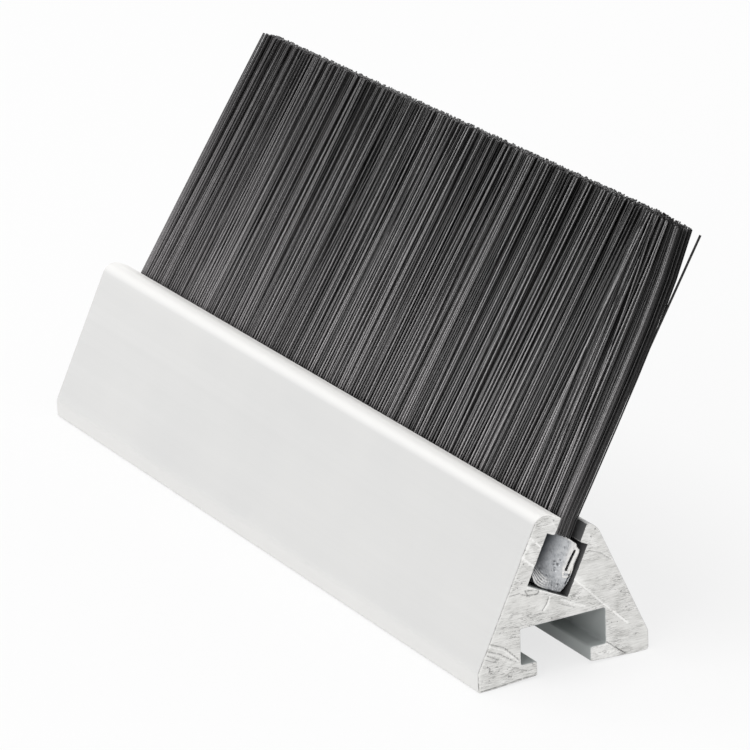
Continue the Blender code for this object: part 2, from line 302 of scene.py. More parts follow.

# marks on the near end, in section millimetres: points, half width, depth (negative stands out), and
# painted light (1 painted highlight, -1 painted shade)
sawnMarks = [
    ([(11.66, 10.38), (13.81, 8.19), (15.54, 6.37), (16.93, 5.08)], 0.09, 0.06, 0.85),
    ([(16.69, 5.3), (18.39, 3.63)], 0.16, 0.07, 0.9),
    ([(16.3, 5.75), (18.3, 3.9)], 0.05, 0.05, -0.6),
    ([(12.15, 10.2), (13.2, 9.2)], 0.36, 0.03, 0.45),
    ([(13.36, 13.13), (15.17, 12.47), (16.46, 11.45), (18.25, 9.35)], 0.05, 0.04, 0.5),
    ([(13.5, 12.95), (15.2, 12.3), (16.4, 11.25)], 0.05, 0.04, -0.5),
    ([(6.84, 15.81), (8.22, 14.32)], 0.1, 0.06, 1.0),
    ([(5.63, 13.96), (7.39, 12.36)], 0.16, 0.06, 0.95),
    ([(6.84, 15.52), (5.95, 13.95)], 0.2, 0.04, 0.5),
    ([(6.6, 14.9), (7.13, 13.4)], 0.35, 0.03, 0.45),
    ([(7.0, 16.96), (6.17, 15.01)], 0.05, 0.04, -0.6),
    ([(6.29, 10.4), (7.76, 9.72), (9.4, 9.0), (11.15, 8.25)], 0.09, -0.04, 0.8),
    ([(6.03, 10.1), (6.26, 9.52), (7.56, 9.45), (7.7, 9.9)], 0.07, 0.06, -0.9),
    ([(8.98, 8.8), (8.72, 8.0), (8.2, 7.4)], 0.1, 0.05, 0.85),
    ([(8.8, 8.7), (8.5, 8.0), (8.0, 7.45)], 0.06, 0.07, -0.9),
    ([(10.4, 8.1), (11.7, 7.4), (13.19, 6.72)], 0.16, 0.05, 0.7),
    ([(10.1, 7.75), (11.9, 6.9)], 0.06, 0.05, -0.45),
    ([(15.71, 2.08), (16.9, 1.12), (18.05, 0.2)], 0.06, 0.08, -1.0),
    ([(14.0, 1.6), (16.2, 1.2)], 0.55, 0.0, 0.5),
    ([(14.0, 0.75), (17.0, 0.5)], 0.4, 0.0, 0.5),
    ([(1.43, 5.25), (3.31, 4.38), (5.06, 2.58)], 0.055, 0.06, -0.75),
    ([(1.52, 4.94), (3.3, 4.05), (5.0, 2.41)], 0.07, -0.02, 0.7),
    ([(1.29, 4.45), (2.84, 3.75), (4.6, 2.49)], 0.05, 0.06, -0.75),
    ([(1.25, 4.25), (2.7, 3.5), (4.0, 2.5)], 0.05, -0.02, 0.5),
    ([(1.17, 4.0), (2.59, 3.18)], 0.05, 0.06, -0.7),
    ([(0.92, 3.59), (2.37, 2.92)], 0.05, 0.06, -0.6),
    ([(4.14, 1.97), (6.15, 1.05)], 0.05, 0.05, -0.5),
    ([(1.23, 2.68), (1.56, 2.39), (1.44, 2.1), (1.88, 2.1)], 0.06, 0.07, -0.9),
    ([(3.72, 1.05), (3.82, 1.05)], 0.08, 0.08, -1.0),
    ([(4.04, 0.97), (4.1, 0.97)], 0.08, 0.08, -1.0),
    ([(0.26, 0.12), (2.27, 0.16), (5.0, 0.38), (6.92, 0.4)], 0.06, 0.06, -0.85),
    ([(4.05, 9.96), (5.29, 9.98), (6.62, 9.3)], 0.05, 0.05, -0.7),
    ([(6.2, 10.05), (7.09, 10.02), (7.64, 9.76)], 0.06, 0.06, -0.8),
    ([(13.9, 14.2), (14.6, 13.2)], 0.4, 0.0, 0.45),
    ([(9.4, 17.1), (10.2, 15.6)], 0.12, 0.0, 0.5),
]


def slopeLine():
    # the sawn face's long edge on the brush strip's front slope
    corners = holderCorners()
    return [(0.08, 0.25), corners[1][0] + Vector((0.04, 0)), corners[2][0] + Vector((-0.6, -1.3))]


def sawnRelief(point):
    # how far the sawn face lies behind the end plane, in millimetres
    tilt = math.radians(holder["streakTilt"])
    along = point.x * math.cos(tilt) + point.y * math.sin(tilt)
    across = -point.x * math.sin(tilt) + point.y * math.cos(tilt)
    seed = holder["seed"]
    wave = 0.5 * noise.noise(Vector((along / 6, across / 4, seed + 3)))
    streak = (across + wave) / holder["streakWidth"]
    coarse = noise.noise(Vector((along / holder["streakLength"], streak / 2, seed)))
    thin = abs(noise.noise(Vector((along / 1.2, streak, seed + 7))))
    lump = noise.noise(Vector((along / 1.1, across / 0.8, seed + 13)))
    depth = holder["streakDepth"] * (1.6 + 1.3 * coarse + 1.6 * max(0, 0.16 - thin) / 0.16 + 1.2 * lump)
    for line, halfWidth, cut, _ in sawnMarks:
        depth += cut * (1 - smoothStep(distanceToLine(point, line), 0, halfWidth * 1.6))
    return max(0, depth)


def sawnPaintedLight(point, edgeLine):
    # 1 on the painted highlights of the sawn face's marks, -1 on its painted shade
    value = 0
    ragged = 1 + 1.1 * noise.noise(Vector((point.x * 4, point.y * 4, 1)))
    broken = min(1, 1.05 + 0.7 * noise.noise(Vector((point.x * 2.5, point.y * 5, 9))))
    for line, halfWidth, _, shade in sawnMarks:
        near = 1 - smoothStep(distanceToLine(point, line), halfWidth * 0.3, halfWidth * 1.4 * ragged)
        value += shade * broken * near
    # a burr runs along the front slope: a painted shadow at the edge, and a painted highlight beside it
    away = distanceToLine(point, edgeLine)
    torn = max(0, 0.6 + 1.2 * noise.noise(Vector((point.y * 1.7, 3, 3))))
    value -= min(1, torn) * (1 - smoothStep(away, 0.02, 0.13))
    value += 0.45 * smoothStep(away, 0.08, 0.16) * (1 - smoothStep(away, 0.2, 0.36))
    return max(-1, min(1, value))


def insetRing(ring, amount):
    # moves every point inwards along the mean of its two edge normals; the ring runs clockwise in Y and Z
    result = []
    count = len(ring)
    for index, point in enumerate(ring):
        before = (point - ring[index - 1]).normalized()
        after = (ring[(index + 1) % count] - point).normalized()
        mean = (before + after).normalized()
        normal = Vector((mean.y, -mean.x))
        stretch = 1 / max(0.5, math.sqrt((1 + before.dot(after)) / 2))
        result.append(point + normal * amount * stretch)
    return result


def signedArea(ring):
    return sum(a.x * b.y - b.x * a.y for a, b in zip(ring, ring[1:] + ring[:1])) / 2


def capFaces(rim, spacing, rowHeight, extraRings=()):
    # an even triangle mesh inside the rim: points on a staggered grid, joined by a Delaunay mesh
    chooser = random.Random(holder["seed"])
    points = list(rim)
    low = Vector((min(p.x for p in rim), min(p.y for p in rim)))
    high = Vector((max(p.x for p in rim), max(p.y for p in rim)))
    for row in range(int((high.y - low.y) / rowHeight) + 1):
        z = low.y + rowHeight * (row + 0.5)
        crossings = []
        for a, b in zip(rim, rim[1:] + rim[:1]):
            if (a.y > z) != (b.y > z):
                crossings.append(a.x + (z - a.y) / (b.y - a.y) * (b.x - a.x))
        crossings.sort()
        for left, right in zip(crossings[::2], crossings[1::2]):
            y = left + spacing * (0.95 if row % 2 else 0.45)
            while y < right - spacing * 0.45:
                points.append(Vector((y + chooser.uniform(-0.12, 0.12) * spacing,
                                      z + chooser.uniform(-0.12, 0.12) * rowHeight)))
                y += spacing
    edges = [(index, (index + 1) % len(rim)) for index in range(len(rim))]
    for ring in extraRings:
        start = len(points)
        points += ring
        edges += [(start + index, start + (index + 1) % len(ring)) for index in range(len(ring))]
    verts, _, faces, origins, _, _ = delaunay_2d_cdt(points, edges, [], 1, 1e-5)
    return verts, faces, origins


# painted shade for the faces inside the pocket, the mouth between the lips and the T-slot, from 0 outside to
# 1 darkest
def innerPaintedShadeAt(point):
    local = point - pocketMiddle
    across = local.dot(pocketAcross)
    up = local.dot(pocketUp)
    half = section["pocketWidth"] / 2
    if -0.1 < up < section["pocketDepth"] + 0.1 and abs(across) < half + 0.05:
        if across > 0:
            return holder["pocketPaintedShade"]
        return holder["pocketFrontPaintedShade"] if up > 1.0 else holder["pocketLowPaintedShade"]
    if up >= section["pocketDepth"] and abs(across) < half - section["lipReach"] + 0.05 and up < 7.9:
        return holder["mouthPaintedShade"]
    middle = section["baseWidth"] / 2
    if section["footRise"] + 0.1 < point.y < 6.1 and abs(point.x - middle) < section["slotWidth"] / 2 + 0.05:
        return holder["slotPaintedShade"]
    return 0.0


def paintedHighlightAt(a, b):
    # painted highlight on the front lip and low on the front foot, from 0 to 1
    middle = (a + b) / 2
    if middle.x < 1.0 and middle.y < 3.4:
        return holder["footPaintedHighlight"] * (1 - smoothStep(middle.y, 1.7, 2.75))
    local = middle - pocketMiddle
    innerSide = -section["pocketWidth"] / 2 + section["lipReach"] - 0.02
    if local.dot(pocketAcross) > innerSide or local.dot(pocketUp) < 5:
        return 0.0
    along = (b - a).normalized()
    falling = smoothStep(-along.y, -0.25, 0.35)
    return smoothStep(abs(along.x), 0.4, 0.95) * (holder["lipPaintedHighlight"] + (1 - holder["lipPaintedHighlight"]) * falling)


def makeHolder(aluminium, sawn):
    outline = splitLong(roundedPath(holderCorners()), holder["rimSpacing"])
    if signedArea(outline) > 0:
        outline.reverse()
    inner = insetRing(outline, holder["edge"])
    halfLength = section["length"] / 2
    mesh = bpy.data.meshes.new("holder")
    shape = bmesh.new()
    paintedLight = shape.verts.layers.float.new("paintedLight")
    innerPaintedShade = shape.faces.layers.float.new("innerPaintedShade")
    paintedHighlight = shape.faces.layers.float.new("paintedHighlight")
    rings = []
    for x, ring, relief in (
            (-halfLength, inner, False),
            (-halfLength + holder["edge"], outline, False),
            (halfLength - holder["edge"] * 1.5, outline, False),
            (halfLength, inner, True)):
        row = []
        for point in ring:
            depth = sawnRelief(point) if relief else 0
            row.append(shape.verts.new(inFrame((x - depth) * mm, point)))
        rings.append(row)
    count = len(outline)
    for a, b in zip(rings, rings[1:]):
        for index in range(count):
            after = (index + 1) % count
            made = shape.faces.new((a[index], b[index], b[after], a[after]))
            made[innerPaintedShade] = innerPaintedShadeAt((outline[index] + outline[after]) / 2)
            made[paintedHighlight] = paintedHighlightAt(outline[index], outline[after])
    for end, rim, x, spacing in ((0, rings[0], -halfLength, holder["farSpacing"]),
                                 (1, rings[-1], halfLength, holder["sawnSpacing"])):
        verts, faces, origins = capFaces(inner, *spacing)
        placed = []
        for vert, origin in zip(verts, origins):
            rimIndex = next((o for o in origin if o < count), None)
            if rimIndex is not None:
                placed.append(rim[rimIndex])
            else:
                depth = sawnRelief(vert) if end else 0
                placed.append(shape.verts.new(inFrame((x - depth * (1 if end else -1)) * mm, vert)))
        for face in faces:
            corners = [placed[index] for index in face]
            if len(set(corners)) < 3:
                continue
            made = shape.faces.new(corners)
            made.material_index = 1
        if end:
            edgeLine = slopeLine()
            for vert, point in zip(placed, verts):
                vert[paintedLight] = sawnPaintedLight(point, edgeLine)
    bmesh.ops.recalc_face_normals(shape, faces=shape.faces)
    for face in shape.faces:
        face.smooth = True
    for edge in shape.edges:
        if edge.calc_face_angle(0) > math.radians(holder["sharpAngle"]):
            edge.smooth = False
    shape.to_mesh(mesh)
    shape.free()
    made = linkNewObject("holder_extrusion_body", mesh, aluminium)
    mesh.materials.append(sawn)
    return made


# folded steel channel, crushed shut at the near end

channel = {
    "gap": 0.15,              # mm, between its floor and the pocket's
    "sideGap": 0.35,
    "height": 5.5,
    "sheet": 0.45,            # thickness
    "bend": 0.9,              # radius of its bends
    "crimp": 0.35,            # how far its walls lean in at the top
    "crimpHeight": 3.575,
    "endGap": 0.28,           # from the crushed end to the holder's end
    "farGap": 0.3,            # from the square end to the holder's
    "wallStop": 1.0,          # from the crushed face to the end of the walls behind it
    "shearedFrom": 4.5,       # mm up the pocket, above which the back wall is sheared off
    "shearedSlope": 2.5,      # mm per mm
    "sharpAngle": 40,         # degrees
    "recede": 0.8,            # how fast the bent-over wall falls back from the end, mm per mm
    "ridge": 0.95,            # mm across the pocket, where it starts
    "foldLow": 0.75,          # mm up the pocket, between which the fold opens
    "foldHigh": 2.7,
    "rounding": 0.2,
    "spacing": (0.07, 0.055),
    "plate": 0.4,             # thickness of the crushed end
    "behind": 1.4,            # how much deeper the layers folded behind it go
    "slitWidth": 0.32,
    "slitDepth": 1.4,
}

# the crushed end's outline, its slit and its marks, in pocket millimetres (across, up)
crushedOutline = [
    (1.47, 5.6), (0.8, 5.76), (0.2, 5.92), (-0.4, 6.0), (-1.4, 5.98), (-1.6, 5.76), (-2.05, 5.5), (-2.2, 4.8),
    (-2.25, 3.4), (-2.25, 1.7), (-2.15, 1.0), (-1.96, 0.64), (-1.6, 0.36), (-1.15, 0.2), (-0.7, 0.12),
    (0.0, 0.08), (0.8, 0.06), (1.4, 0.06), (1.8, 0.2), (2.02, 0.62), (2.24, 1.2), (2.34, 1.95), (2.36, 2.8),
    (2.26, 3.4), (2.3, 4.1), (2.36, 4.7), (2.24, 5.04), (1.78, 5.26), (1.66, 5.48)]
slitLine = [(1.62, 4.74), (1.54, 4.15), (1.48, 3.4), (1.45, 2.66)]
# centre, radius and depth of pits, negative for lumps
crushedSpots = [
    ((0.1, 3.05), 0.17, 0.12), ((0.42, 2.92), 0.16, 0.14), ((0.15, 2.76), 0.15, 0.12),
    ((0.52, 3.45), 0.12, 0.1), ((0.3, 2.2), 0.14, 0.08), ((-0.4, 1.55), 0.12, 0.07),
    ((1.15, 0.95), 0.16, 0.07),
    ((1.22, 2.28), 0.12, -0.12), ((1.3, 2.12), 0.1, -0.1), ((1.6, 2.42), 0.12, -0.1),
    ((1.95, 2.42), 0.14, -0.14), ((1.35, 1.88), 0.1, -0.12), ((1.55, 1.86), 0.12, -0.14),
    ((1.78, 1.9), 0.12, -0.12), ((2.0, 2.02), 0.1, -0.1), ((1.08, 2.72), 0.1, -0.06)]
crushedGrooves = [
    ([(2.16, 2.75), (2.14, 1.95), (2.02, 1.2)], 0.06, 0.2),
    ([(1.15, 2.1), (1.7, 2.16), (2.05, 2.2)], 0.06, 0.08),
    ([(0.9, 3.1), (1.05, 2.4), (0.9, 1.5)], 0.1, 0.05),
]
shearCentre = Vector((-0.35, 2.5))        # of the arcs that the shears left
shearStep = 0.25


def crushedDepth(point):
    # how far the crushed end lies behind its foremost plane, in millimetres
    c = channel
    back = max(0, c["ridge"] - point.x)
    back = back * back / (back + 0.25)
    return 0.04 + c["recede"] * back * smoothStep(point.y, c["foldLow"], c["foldHigh"])


def shearArc(point):
    # waves across the shears' arcs, from -1 to 1
    waver = 2.5 * noise.noise(Vector((point.x * 0.8, point.y * 0.8, 5)))
    return math.sin(2 * math.pi * (point - shearCentre).length / shearStep + waver)


def crushedRelief(point):
    # dents, lumps, the shears' arcs at the lower corner, and fine streaks
    arm = point - shearCentre
    turn = math.degrees(math.atan2(-arm.y, -arm.x))
    window = smoothStep(turn, 5, 30) * (1 - smoothStep(turn, 60, 90))
    window *= smoothStep(arm.length, 0.9, 1.15) * (1 - smoothStep(arm.length, 2.0, 2.3))
    depth = 0.03 * window * shearArc(point)
    for spot, radius, cut in crushedSpots:
        depth += cut * (1 - smoothStep((point - Vector(spot)).length, 0, radius * 1.4))
    for line, halfWidth, cut in crushedGrooves:
        depth += cut * (1 - smoothStep(distanceToLine(point, line), 0, halfWidth * 2))
    band = smoothStep(point.x, 0.75, 1.0)
    depth += 0.03 * band * noise.noise(Vector((point.x / 0.5, point.y / 0.11, 8)))
    low = 1 - smoothStep(point.y, 1.2, 2.4)
    depth += 0.03 * low * noise.noise(Vector((point.x / 0.6 - point.y / 0.5, (point.x + point.y) / 0.16, 4)))
    return depth


def bareSteelAndPaintedArcs(point):
    # 1 where the shears left bright bare steel, and on painted highlights along the shears' arcs
    value = smoothStep(point.x, 1.6, 1.8) * smoothStep(point.y, 2.2, 2.5)
    value = max(value, 0.75 * smoothStep(point.x, 0.6, 1.3) * smoothStep(point.y, 2.0, 2.7))
    for spot, radius, cut in crushedSpots:
        if cut < 0:
            value = max(value, 1 - smoothStep((point - Vector(spot)).length, radius * 0.5, radius * 1.5))
    rim = distanceToLine(point, crushedOutline[:4])
    value = max(value, 0.8 * (1 - smoothStep(rim, 0.05, 0.16)))
    # painted highlights on every other arc that the shears left
    arm = point - shearCentre
    window = smoothStep(-arm.y, 0.5, 1.0) * (1 - smoothStep(arm.x, -0.6, 0.8))
    window *= smoothStep(arm.length, 1.0, 1.4)
    value = max(value, 0.85 * window * smoothStep(shearArc(point), -0.1, 0.8))
    return value * min(1, 0.9 + 0.8 * noise.noise(Vector((point.x / 0.2, point.y / 0.35, 6))))


def zincPaintedShadeAt(point):
    # painted shade: dark along the front edge, beside the pocket's wall, and a mottled mid grey at the lower
    # corner; dark too in the pits and the deepest groove
    lean = point.x - 0.12 * (point.y - 3)
    value = min(1, 1.12 * (1 - smoothStep(lean, -2.3, 1.45)))
    low = 1 - smoothStep(point.y + 0.35 * point.x, 0.7, 2.3)
    streakyLowShade = 0.42 + 0.6 * noise.noise(Vector((point.x / 0.5 - point.y / 0.3, (point.x + point.y) / 0.15, 4)))
    value = value * (1 - low) + streakyLowShade * low
    for spot, radius, cut in crushedSpots:
        if cut > 0:
            ragged = radius * (1 + 1.3 * noise.noise(Vector((point.x * 9, point.y * 9, 2))))
            away = (point - Vector(spot)).length
            value = max(value, 0.8 * (1 - smoothStep(away, ragged * 0.3, max(0.02, ragged))))
    line, halfWidth, _ = crushedGrooves[0]
    return max(value, 1 - smoothStep(distanceToLine(point, line), halfWidth, halfWidth * 2))


def slitRing(grow):
    # a thin closed ring round the slit's centre line
    line = [Vector(p) for p in slitLine]
    left = []
    right = []
    for index, point in enumerate(line):
        along = (line[min(index + 1, len(line) - 1)] - line[max(index - 1, 0)]).normalized()
        side = Vector((along.y, -along.x)) * (channel["slitWidth"] / 2 + grow)
        push = along * grow * ((index == len(line) - 1) - (index == 0))
        left.append(point + side + push)
        right.append(point - side + push)
    return splitLong(left + right[::-1], 0.12)


def makeCrushedEnd(shape, bareSteelAndHighlight, paintedShade):
    nearEnd = section["length"] / 2 - channel["endGap"]
    rim = splitLong([Vector(p) for p in crushedOutline], 0.1)
    if signedArea(rim) > 0:
        rim.reverse()
    slit = slitRing(0.0)
    slitInside = slitRing(-0.03)
    verts, faces, origins = capFaces(rim, *channel["spacing"], extraRings=(slit, slitInside))
    front = []
    back = []
    for point in verts:
        edge = distanceToLine(point, rim + rim[:1])
        roundOff = max(0, channel["rounding"] - edge)
        depth = crushedDepth(point) + roundOff * roundOff * 1.6 + min(1, edge / 0.1) * crushedRelief(point)
        inSlit = distanceToLine(point, slitLine) < channel["slitWidth"] / 2 - 0.015
        if inSlit:
            depth += channel["slitDepth"]
        depth = max(0.0, depth)
        front.append(shape.verts.new(inFrame((nearEnd - depth) * mm, inPocket(*point))))
        # the slit gets full painted shade
        front[-1][bareSteelAndHighlight] = 0 if inSlit else bareSteelAndPaintedArcs(point)
        front[-1][paintedShade] = 1 if inSlit else zincPaintedShadeAt(point)
        behind = crushedDepth(point) + channel["plate"] + channel["behind"]
        back.append(shape.verts.new(inFrame((nearEnd - behind) * mm, inPocket(*point))))
    for face in faces:
        shape.faces.new([front[index] for index in face])
        shape.faces.new([back[index] for index in reversed(face)])
    edges = dict.fromkeys(edge for face in faces for edge in zip(face, face[1:] + face[:1]))
    for a, b in edges:
        if (b, a) not in edges:
            shape.faces.new((front[b], front[a], back[a], back[b]))


def channelLine():
    c = channel
    side = section["pocketWidth"] / 2 - c["sideGap"] - c["sheet"] / 2
    floor = c["sheet"] / 2
    slant = side / 2
    return splitLong(roundedPath([
        (Vector((-side + c["crimp"], c["height"])), 0),
        (Vector((-side, c["crimpHeight"])), c["bend"]),
        (Vector((-side, floor + slant)), c["bend"]),
        (Vector((-side + slant, floor)), c["bend"]),
        (Vector((side - slant, floor)), c["bend"]),
        (Vector((side, floor + slant)), c["bend"]),
        (Vector((side, c["crimpHeight"])), c["bend"]),
        (Vector((side - c["crimp"], c["height"])), 0)], closed=False), 0.3, closed=False)


def makeChannel(zinc):
    line = channelLine()
    outer = []
    inner = []
    for index, point in enumerate(line):
        along = (line[min(index + 1, len(line) - 1)] - line[max(index - 1, 0)]).normalized()
        side = Vector((along.y, -along.x)) * channel["sheet"] / 2
        outer.append(point + side)
        inner.append(point - side)
    ring = [Vector((p.x, p.y + channel["gap"])) for p in outer + inner[::-1]]
    nearEnd = section["length"] / 2 - channel["endGap"]
    mesh = bpy.data.meshes.new("channel")
    shape = bmesh.new()
    bareSteelAndHighlight = shape.verts.layers.float.new("bareSteelAndHighlight")
    paintedShade = shape.verts.layers.float.new("paintedShade")
    rows = []
    for x in (-section["length"] / 2 + channel["farGap"], 0.0, 40.0, None):
        row = []
        for point in ring:
            if x is None:
                # the walls stop just behind the crushed end, and the back wall's top is sheared lower
                stop = nearEnd - crushedDepth(point) - channel["wallStop"]
                if point.x > 1:
                    stop -= max(0, point.y - channel["shearedFrom"]) * channel["shearedSlope"]
                row.append(shape.verts.new(inFrame(stop * mm, inPocket(*point))))
            else:
                row.append(shape.verts.new(inFrame(x * mm, inPocket(*point))))
        rows.append(row)
    count = len(ring)
    for a, b in zip(rows, rows[1:]):
        for index in range(count):
            after = (index + 1) % count
            shape.faces.new((a[index], a[after], b[after], b[index]))
    # both ends are strips across the sheet
    for row in (rows[0], rows[-1]):
        for index in range(count // 2 - 1):
            shape.faces.new((row[index], row[index + 1], row[count - 2 - index], row[count - 1 - index]))
    makeCrushedEnd(shape, bareSteelAndHighlight, paintedShade)
    bmesh.ops.recalc_face_normals(shape, faces=shape.faces)
    for face in shape.faces:
        face.smooth = True
    for edge in shape.edges:
        if edge.calc_face_angle(0) > math.radians(channel["sharpAngle"]):
            edge.smooth = False
    shape.to_mesh(mesh)
    shape.free()
    return linkNewObject("brush_channel_folded", mesh, zinc)


# bristles

brush = {
    "lean": 29.0,             # degrees, of the whole pack towards the back
    "startX": -47.05,         # mm, of the filaments at the mouth
    "endX": 49.15,
    "rows": 9,                # from the front face to the back
    "columns": 190,
    "mouthBehind": 1.17,      # mm, from the front lip to the pack's middle
    "atMouth": 2.3,           # mm, thickness of the pack
    "atTips": 2.25,
    "length": 32.5,
    "belowMouth": 3.4,
    "endBelowMouth": 1.9,     # mm, over the crushed end of the channel
    "radius": 0.088,
    "sides": 7,
    "segments": 7,
    "leanFar": 8.5,           # degrees along X, at the far end
    "leanMiddle": 4.9,        # just before the near tuft
    "leanNear": -0.2,         # in the near tuft
    "nearTuft": 41.6,         # mm, where it begins
    "nearCurl": 1.0,          # mm that its last tips draw in
    "trimSlant": 0.2,
    "trimRise": 0.26,
    "trimDrop": 0.26,
    "trimScatter": 0.15,
    "spread": 0.32,           # how uneven the spacing is
    "mouthShift": 0.2,        # mm, how much further back the pack's middle is at the mouth
    "clumpWidth": 1.3,
    "clumpPull": 0.42,
    "crossing": 0.75,         # degrees, usual scatter of direction
    "innerShade": 0.32,       # painted shade: how much darker each row is than the one outside it
    "bow": 0.16,              # mm
    "seed": 5,
}

packLean = math.radians(brush["lean"])
packUp = Vector((math.sin(packLean), math.cos(packLean)))
packAcross = Vector((math.cos(packLean), -math.sin(packLean)))
mouthAcross = -section["pocketWidth"] / 2 + section["lipReach"] + brush["mouthBehind"]
mouthPoint = inPocket(mouthAcross, section["pocketDepth"] + section["frontLipHeight"])
neckPoint = inPocket(0, channel["height"] + channel["gap"])


def direction3(vector):
    return Vector((0, vector.x, vector.y))


def makeBristleTree():
    # one tree for every layer of filaments, with all its sizes as named inputs in metres and degrees
    tree = bpy.data.node_groups.new("bristle layer", "GeometryNodeTree")
    face = tree.interface
    face.new_socket("Geometry", in_out="INPUT", socket_type="NodeSocketGeometry")
    names = {}
    for name, kind, value in (
            ("Columns", "Int", brush["columns"]), ("First Row", "Int", 0), ("Row Count", "Int", 5),
            ("All Rows", "Int", brush["rows"]), ("Start X", "Float", brush["startX"] * mm),
            ("End X", "Float", brush["endX"] * mm), ("Pack At Mouth", "Float", brush["atMouth"] * mm),
            ("Pack At Tips", "Float", brush["atTips"] * mm), ("Length", "Float", brush["length"] * mm),
            ("Below Mouth", "Float", brush["belowMouth"] * mm),
            ("End Below Mouth", "Float", brush["endBelowMouth"] * mm),
            ("Radius", "Float", brush["radius"] * mm),
            ("Sides", "Int", brush["sides"]), ("Segments", "Int", brush["segments"]),
            ("Lean Far", "Float", brush["leanFar"]), ("Lean Middle", "Float", brush["leanMiddle"]),
            ("Lean Near", "Float", brush["leanNear"]), ("Near Tuft X", "Float", brush["nearTuft"] * mm),
            ("Near Curl", "Float", brush["nearCurl"] * mm), ("Trim Slant", "Float", brush["trimSlant"] * mm),
            ("Trim Rise", "Float", brush["trimRise"] * mm),
            ("Trim Scatter", "Float", brush["trimScatter"] * mm),
            ("Trim Drop", "Float", brush["trimDrop"] * mm), ("Spread", "Float", brush["spread"]),
            ("Mouth Shift", "Float", brush["mouthShift"] * mm),
            ("Highest", "Float", cadBox[1][2] - 0.00001), ("Furthest", "Float", cadBox[1][1] - 0.00001),
            ("Clump Width", "Float", brush["clumpWidth"] * mm), ("Clump Pull", "Float", brush["clumpPull"]),
            ("Crossing", "Float", brush["crossing"]), ("Bow", "Float", brush["bow"] * mm),
            ("Inner Shade", "Float", brush["innerShade"]), ("Seed", "Int", brush["seed"]),
            ("Filament", "Material", None)):
        socket = face.new_socket(name, in_out="INPUT", socket_type="NodeSocket" + kind)
        if value is not None:
            socket.default_value = value
        names[name] = socket.identifier
    face.new_socket("Geometry", in_out="OUTPUT", socket_type="NodeSocketGeometry")
    given = tree.nodes.new("NodeGroupInput")
    result = tree.nodes.new("NodeGroupOutput")

    def value(name):
        return given.outputs[name]

    def calc(operation, *values):
        return maths(tree, operation, *values)

    def chance(low, high, number, key):
        made = addNode(tree, "FunctionNodeRandomValue", {"data_type": "FLOAT"}, Min=low, Max=high)
        tree.links.new(key, firstSocket(made.inputs, "ID"))
        tree.links.new(calc("ADD", value("Seed"), number), firstSocket(made.inputs, "Seed"))
        return firstSocket(made.outputs, "Value")

    # every filament starts as a short upright line, with its number kept on its points
    count = calc("MULTIPLY", value("Columns"), value("Row Count"))
    points = addNode(tree, "GeometryNodePoints", Count=count)
    numbered = addNode(tree, "GeometryNodeStoreNamedAttribute", {"data_type": "INT", "domain": "POINT"},
                       Geometry=points.outputs[0], Name="filament",
                       Value=addNode(tree, "GeometryNodeInputIndex").outputs[0])
    line = addNode(tree, "GeometryNodeCurvePrimitiveLine", Start=(0, 0, 0), End=(0, 0, 1))
    fine = addNode(tree, "GeometryNodeResampleCurve", Curve=line.outputs[0],
                   Count=calc("ADD", value("Segments"), 1))
    spread = addNode(tree, "GeometryNodeInstanceOnPoints", Points=numbered.outputs[0],
                     Instance=fine.outputs[0])
    strands = addNode(tree, "GeometryNodeRealizeInstances", Geometry=spread.outputs[0])

    number = firstSocket(addNode(tree, "GeometryNodeInputNamedAttribute", {"data_type": "INT"},
                                 Name="filament").outputs, "Attribute")
    column = calc("FLOOR", calc("DIVIDE", number, value("Row Count")))
    row = calc("SUBTRACT", number, calc("MULTIPLY", column, value("Row Count")))
    row = calc("ADD", row, value("First Row"))
    key = calc("ADD", number, calc("MULTIPLY", value("First Row"), 10007))
    odd = calc("MODULO", row, 2)

    # where it leaves the mouth: along X, and across the pack from -0.5 at the front to 0.5 at the back
    uneven = calc("MULTIPLY", value("Spread"), chance(0.0, 1.0, 1, key))
    place = calc("ADD", column, calc("ADD", calc("MULTIPLY", odd, 0.5), uneven))
    share = calc("DIVIDE", place, value("Columns"))
    span = calc("SUBTRACT", value("End X"), value("Start X"))
    mouthX = calc("ADD", value("Start X"), calc("MULTIPLY", span, share))
    depth = calc("DIVIDE", calc("ADD", row, chance(0.25, 0.75, 2, key)), value("All Rows"))
    depth = calc("SUBTRACT", depth, 0.5)

    # along the filament: 0 at its foot, 1 at its tip
    upright = firstSocket(addNode(tree, "ShaderNodeSeparateXYZ",
                                  Vector=addNode(tree, "GeometryNodeInputPosition").outputs[0]).outputs, "Z")
    ragged = chance(0.0, 1.0, 3, key)
    trim = calc("ADD", calc("MULTIPLY", calc("MULTIPLY", value("Trim Slant"), depth), 2.0),
                calc("MULTIPLY", value("Trim Rise"), mapRange(tree, share, 0.0, 0.85, -0.3, 1.0)))
    drop = calc("MULTIPLY", value("Trim Drop"), mapRange(tree, share, 0.9, 1.0, 0.0, 1.0))
    trim = calc("SUBTRACT", trim, drop)
    trim = calc("SUBTRACT", trim, calc("MULTIPLY", value("Trim Scatter"), calc("POWER", ragged, 2.0)))
    length = calc("ADD", value("Length"), trim)
    # the first segment runs down into the channel, and the others run up from the mouth
    foot = calc("DIVIDE", 1.0, value("Segments"))
    sunk = mapRange(tree, mouthX,
                    calc("SUBTRACT", value("End X"), 0.0026), calc("SUBTRACT", value("End X"), 0.002),
                    value("Below Mouth"), value("End Below Mouth"))
    below = calc("MULTIPLY", calc("SUBTRACT", mapRange(tree, upright, 0.0, foot, 0.0, 1.0), 1.0), sunk)
    above = calc("MULTIPLY", mapRange(tree, upright, foot, 1.0, 0.0, 1.0), length)
    risen = calc("DIVIDE", above, value("Length"))

